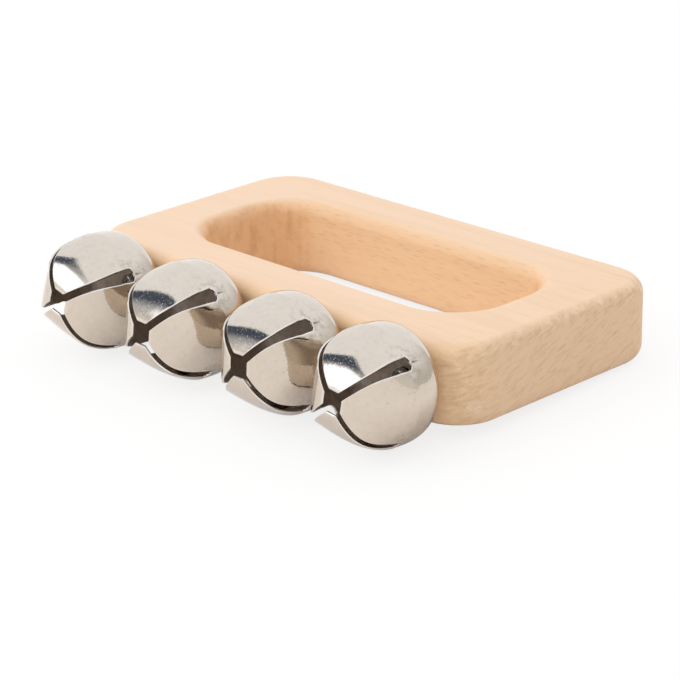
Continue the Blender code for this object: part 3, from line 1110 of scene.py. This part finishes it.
# %% Screw pieces
THREAD_PITCH = 1.1 * MM
THREAD_HEIGHT = 0.3 * MM
THREAD_START = 2.5 * MM
SCREW_STEPS = 36
HEAD_ROUND = 0.7 * MM
SCREW_POINT = 3.0 * MM
UNDER_HEAD = -(2 * SEAT_GAP + BELL_SHEET)
HEAD_FACE = UNDER_HEAD - SCREW_HEAD_HEIGHT
SHANK_END = BELL_RAIL - SCREW_COVER
RECESS_LENGTH = 2.4 * MM
RECESS_WIDTH = 0.6 * MM
RECESS_DEPTH = 0.9 * MM
RECESS_TAPER = 0.6
HEAD_DOME = 0.12 * MM
DOME_SHARES = (0.35, 0.7, 0.95)
HEAD_BREAK = 0.1 * MM
HEAD_STEPS = 8
NECK_RADIUS = SCREW_RADIUS * 0.92
NECK_END = THREAD_START * 0.4
THREAD_ROWS = 96
RIDGE_HALF_WIDTH = 0.28


def thread_radius(y, turn):
    """The shank's radius at a place along it, where a ridge climbs with the turn."""
    if y < THREAD_START:
        return NECK_RADIUS
    taper = min(1.0, max(0.0, (SHANK_END - y) / SCREW_POINT))
    phase = (y / THREAD_PITCH - turn / (2 * pi)) % 1.0
    ridge = max(0.0, 1.0 - abs(phase - 0.5) / RIDGE_HALF_WIDTH)
    started = min(1.0, (y - THREAD_START) / THREAD_PITCH)
    core = (SCREW_RADIUS - THREAD_HEIGHT) * taper
    return core + THREAD_HEIGHT * min(1.0, taper * 3.0) * (ridge * started + (1 - started))


def screw_profile():
    """(radius, y) from the middle of the head's face round the head and down the shank to the point."""
    flat = SCREW_HEAD_RADIUS - HEAD_ROUND
    profile = [(0.0, HEAD_FACE - HEAD_DOME)]
    profile += [(flat * share, HEAD_FACE - HEAD_DOME * (1 - share * share)) for share in DOME_SHARES]
    for step in range(HEAD_STEPS + 1):
        bow = pi / 2 * step / HEAD_STEPS
        profile.append((flat + HEAD_ROUND * sin(bow), HEAD_FACE + HEAD_ROUND * (1 - cos(bow))))
    profile += [
        (SCREW_HEAD_RADIUS, UNDER_HEAD - HEAD_BREAK),
        (SCREW_HEAD_RADIUS - 0.8 * HEAD_BREAK, UNDER_HEAD),
        (SCREW_RADIUS + HEAD_BREAK, UNDER_HEAD),
        (NECK_RADIUS, UNDER_HEAD + 1.5 * HEAD_BREAK),
    ]
    for row in range(THREAD_ROWS):
        y = NECK_END + (SHANK_END - NECK_END) * row / THREAD_ROWS
        profile.append((partial(thread_radius, y), y))
    return profile + [(0.0, SHANK_END)]


def blade_mesh(angle):
    """One tapered blade of the punch that forms the driver's cross."""
    build = bmesh.new()
    bmesh.ops.create_cube(build, size=1.0)
    for corner in build.verts:
        share = RECESS_TAPER if corner.co.y > 0 else 1.0
        corner.co.x *= RECESS_LENGTH * share
        corner.co.z *= RECESS_WIDTH * share
        corner.co.y = HEAD_FACE + corner.co.y * 2 * RECESS_DEPTH
    bmesh.ops.rotate(build, verts=build.verts, cent=(0, 0, 0), matrix=Matrix.Rotation(angle, 3, "Y"))
    bmesh.ops.recalc_face_normals(build, faces=build.faces)
    return mesh_of(build, "blade")


def make_screw(number):
    """A pan-head screw with its cross turned as its bell is."""
    name = f"pan_head_screw_{number}"
    screw = new_piece(name, turned_mesh(name, screw_profile(), SCREW_STEPS), ZINC)
    for arm in range(2):
        cut_mesh(screw, blade_mesh(pi / 2 * arm + BELL_TURNS[number - 1]))
    screw.data.transform(SEATS[number - 1])
    screw.data.set_sharp_from_angle(angle=SHARP_ANGLE)
    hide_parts(f"screw_{number}")
    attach(screw, "stick")
    return screw


screws = [make_screw(number) for number in range(1, len(SEATS) + 1)]
print("screws:", [len(screw.data.polygons) for screw in screws], "faces")

# %% [markdown]
# ## The table and the light
#
# The bells are a little thicker than the board, so the instrument rests on the bells in front and on the
# rounded rear edge behind. The table is laid just there, which tips it about two degrees against the
# board. It is white paper, and it still takes a soft shadow.
#
# A mirror shows the studio more than itself. The bells stand in a light tent of white walls, with a gap
# through which the dark room shows, a dim bar above it, and a tall bright softbox with a slanting edge
# beside it. These give each bell its dark band and its white corner. Low down and far right the walls are
# dimmer, and so is the paper beside the board's end. The wood mirrors nothing and only needs an even
# light, so Light Path tells the kinds of ray apart: seen straight, mirrored once, mirrored twice between
# two bells, and all the rest. Real lamps and cards could do the same, but each would need its own place.

# %% Table top
STEEPEST_TABLE = 0.2
TABLE_HALVINGS = 40
TABLE_HALF = 3.0
TABLE_GLOW = 0.80
MIRRORED_GLOW = 0.09
PAPER_WHITE = 2.5
PAPER_TINT = (0.98, 1.02, 1.16)
PAPER_DARK = (0.92, 0.92, 0.92)
PAPER_LIGHT = (0.96, 0.96, 0.96)
PLAIN_WHITE = (1.0, 1.0, 1.0)
SHADE_PLACE = (56 * MM, -22 * MM, 0.0)
SHADE_REACH = 30 * MM


def lowest(names, slope):
    """How low some pieces reach towards a table of a slope."""
    points = (vertex.co for name in names for vertex in frame["nodes"][name].data.vertices)
    return min(point.z - slope * point.y for point in points)


def resting_slope():
    """Slope and height of the plane that touches the bells and the board from below."""
    bell_names = [f"bell_{number}" for number in range(1, len(SEATS) + 1)]
    low, high = 0.0, STEEPEST_TABLE
    for _ in range(TABLE_HALVINGS):
        slope = (low + high) / 2
        if lowest(bell_names, slope) < lowest(["wooden_frame"], slope):
            low = slope
        else:
            high = slope
    return slope, lowest(bell_names, slope)


def seen_directly(tree, mirrored):
    """1 for rays that look at a thing straight, and also by way of a mirror or glass if asked."""
    path = add_node(tree, "ShaderNodeLightPath")
    seen = Rule(tree, path.outputs["Is Camera Ray"])
    if mirrored:
        seen = (seen + path.outputs["Is Glossy Ray"] + path.outputs["Is Transmission Ray"]).clamped()
    return seen


def make_table():
    """A large white sheet under the instrument."""
    slope, height = resting_slope()
    build = bmesh.new()
    bmesh.ops.create_grid(build, x_segments=1, y_segments=1, size=TABLE_HALF)
    for corner in build.verts:
        corner.co.z = height + slope * corner.co.y
    material, tree, shader = new_material("white_paper")
    shader.inputs["Roughness"].default_value = 0.9
    place = object_place(tree)
    fibres = noise(tree, place, 900.0, detail=4.0)
    feed(tree, shader.inputs["Base Color"], blend_colour(tree, fibres, PAPER_DARK, PAPER_LIGHT))
    seen = seen_directly(tree, False)
    mirrored = seen_directly(tree, True) - seen
    away = (vector_rule(tree, "DISTANCE", place, SHADE_PLACE) / SHADE_REACH).clamped()
    tint = blend_colour(tree, mirrored, PLAIN_WHITE, PAPER_TINT)
    glow = add_node(tree, "ShaderNodeEmission", Color=tint, Strength=seen + mirrored * PAPER_WHITE)
    share = seen * TABLE_GLOW + mirrored * away * MIRRORED_GLOW
    surface = mixed_shader(tree, share, shader, glow)
    feed(tree, tree.nodes["Material Output"].inputs["Surface"], surface)
    new_piece("table", mesh_of(build, "table"), material)
    return slope


print("the table tips by", round(make_table() * 180 / pi, 2), "degrees against the board")

# %% Studio light
SKY_LEVEL = 1.19
SKY_SIDES, SKY_TOP, SKY_RIGHT = 0.62, 0.45, 0.30
WARM_WHITE = (1.0, 0.985, 0.97, 1.0)
WALLS = (1.22, 1.295, 1.395)
LOW_WALLS = (1.22, 1.23, 1.24)
LOW_WALLS_TOP = radians(14)
DARK_ROOM = (0.09, 0.12, 0.185)
FAR_WALLS = (1.06, 1.06, 1.02)
FAR_SHADE = (0.50, 0.45, 0.42)
FAR_SHADE_RIGHT = radians(-23)
FAR_SHADE_TOP = radians(60)
GAP_LEFT = radians(-75)
GAP_RIGHT = radians(-46)
GAP_TOP = radians(61)
BAR_RIGHT = radians(-42)
BAR_DEPTH = 0.6
SHADE_RIGHT = radians(95)
SHADE_TOP = radians(25)
SHADE_LEVEL = 0.62
SOFTBOX_EDGE = Vector((-0.758, 0.629, -0.176)).normalized()
SOFTBOX_LEFT = radians(-70)
SOFTBOX_RIGHT = radians(-24)
SOFTBOX_TOP = radians(50)
SOFTBOX_GLOW = (2.1, 2.27, 2.65)
CRISP = radians(4)
LAMP_DIRECTION = Vector((-0.45, -0.70, 0.55)).normalized()
LAMP_DISTANCE = 1.0
LAMP_WIDTH = 0.40
LAMP_HEIGHT = 0.60
LAMP_RADIANCE = 2.6


def dark_gap(azimuth, height):
    """The dark room seen between the tent's walls, and a dim bar over the softbox that joins it."""
    from_left = azimuth.past(GAP_LEFT, CRISP)
    gap = from_left * azimuth.up_to(GAP_RIGHT, radians(24))
    bar = from_left * azimuth.up_to(BAR_RIGHT, radians(6)) * height.past(SOFTBOX_TOP, CRISP) * BAR_DEPTH
    return gap.act("MAXIMUM", bar) * height.up_to(GAP_TOP, CRISP) * height.past(0.0, radians(20))


def bright_box(tree, direction, azimuth, height):
    """A tall softbox just right of the gap, whose left edge leans over it."""
    box = vector_rule(tree, "DOT_PRODUCT", direction, tuple(SOFTBOX_EDGE)).up_to(0.0, 0.03)
    box = box * azimuth.up_to(SOFTBOX_RIGHT, radians(5)) * height.up_to(SOFTBOX_TOP, CRISP)
    return box * azimuth.past(SOFTBOX_LEFT, radians(1))


def far_walls(tree, azimuth, height):
    """The walls as one bell mirrors them for its neighbour: plain, and dim on the gap's side."""
    dim = azimuth.up_to(FAR_SHADE_RIGHT, radians(22))
    dim = dim * (1.0 - height.past(FAR_SHADE_TOP, radians(20)) * 0.5)
    return blend_colour(tree, dim, FAR_WALLS, FAR_SHADE)


def tent_walls(tree, direction):
    """The light tent as the bells mirror it, with all that stands in it."""
    x, y, z = parts_of(tree, direction)
    azimuth, height = x.act("ARCTAN2", -y), z.act("ARCSINE")
    shade = azimuth.past(SHADE_RIGHT, radians(70)) * height.up_to(SHADE_TOP, radians(30))
    bounces = Rule(tree, add_node(tree, "ShaderNodeLightPath").outputs["Glossy Depth"])
    layers = [
        (shade, tuple(SHADE_LEVEL * level for level in LOW_WALLS)),
        (dark_gap(azimuth, height), DARK_ROOM),
        (bright_box(tree, direction, azimuth, height), SOFTBOX_GLOW),
        (bounces.act("GREATER_THAN", 1.5), far_walls(tree, azimuth, height)),
    ]
    walls = blend_colour(tree, height.past(LOW_WALLS_TOP, radians(24)), LOW_WALLS, WALLS)
    return paint(tree, walls, layers)


def make_world():
    """The tent for mirrored rays, plain white for rays seen straight, and an even light for the rest."""
    world = bpy.data.worlds.new("light_tent")
    bpy.context.scene.world = world
    world.use_nodes = True
    tree = world.node_tree
    direction = add_node(tree, "ShaderNodeTexCoord").outputs["Generated"]
    x, _, z = parts_of(tree, direction)
    from_above, from_right = z.act("MAXIMUM", 0.0), x.act("MAXIMUM", 0.0)
    even = (SKY_SIDES + from_above * SKY_TOP) * (1.0 - from_right * SKY_RIGHT) * SKY_LEVEL
    lit = add_node(tree, "ShaderNodeBackground", Color=WARM_WHITE, Strength=even)
    straight = add_node(tree, "ShaderNodeBackground", Color=(*PLAIN_WHITE, 1.0), Strength=1.0)
    mirrored = add_node(tree, "ShaderNodeBackground", Color=tent_walls(tree, direction), Strength=1.0)
    light = mixed_shader(tree, seen_directly(tree, True), lit, mirrored)
    light = mixed_shader(tree, seen_directly(tree, False), light, straight)
    feed(tree, tree.nodes["World Output"].inputs["Surface"], light)


def add_softbox():
    """A rectangular lamp that faces the board's middle. The bells mirror the tent's softbox instead."""
    lamp = bpy.data.lights.new("front_left_softbox", "AREA")
    lamp.shape = "RECTANGLE"
    lamp.size, lamp.size_y = LAMP_WIDTH, LAMP_HEIGHT
    lamp.energy = LAMP_RADIANCE * pi * LAMP_WIDTH * LAMP_HEIGHT
    softbox = bpy.data.objects.new("front_left_softbox", lamp)
    softbox.location = BOARD_MIDDLE + LAMP_DIRECTION * LAMP_DISTANCE
    softbox.rotation_euler = LAMP_DIRECTION.to_track_quat("Z", "Y").to_euler()
    softbox.visible_glossy = False
    bpy.context.scene.collection.objects.link(softbox)
    return softbox


make_world()
softbox = add_softbox()
bpy.context.scene.view_settings.view_transform = "Standard"
print("studio ready with a light tent and", softbox.name)
